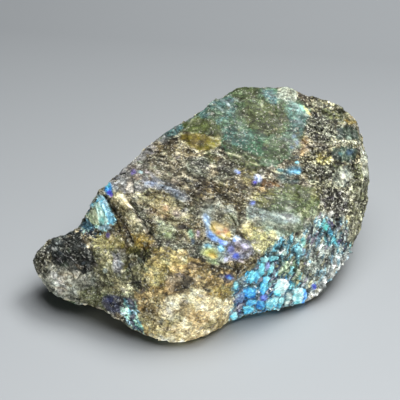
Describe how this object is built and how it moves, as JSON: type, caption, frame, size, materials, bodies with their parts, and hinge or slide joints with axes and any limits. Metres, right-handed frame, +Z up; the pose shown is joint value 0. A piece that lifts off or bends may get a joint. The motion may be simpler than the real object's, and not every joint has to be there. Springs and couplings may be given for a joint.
{
  "type": "rough labradorite chunk",
  "caption": "Rough, wedge-shaped chunk of labradorite rock with a broad sloping top, an undercut toe and a flat base to rest on.",
  "frame": {"origin": "middle of the stone's bounding box in plan, on the plane of the flat face it rests on", "axes": "+Z up from the resting face; +X along the stone's length, towards its thick end; -Y towards its low front"},
  "size_m": [0.1002, 0.06, 0.0395],
  "materials": {
    "labradorite": "opaque rough feldspar rock, olive to grey-brown, glassy on fresh cleavage facets with blue, teal and gold flashes"
  },
  "bodies": {
    "root": {"labradorite_chunk": "labradorite"}
  },
  "joints": []
}
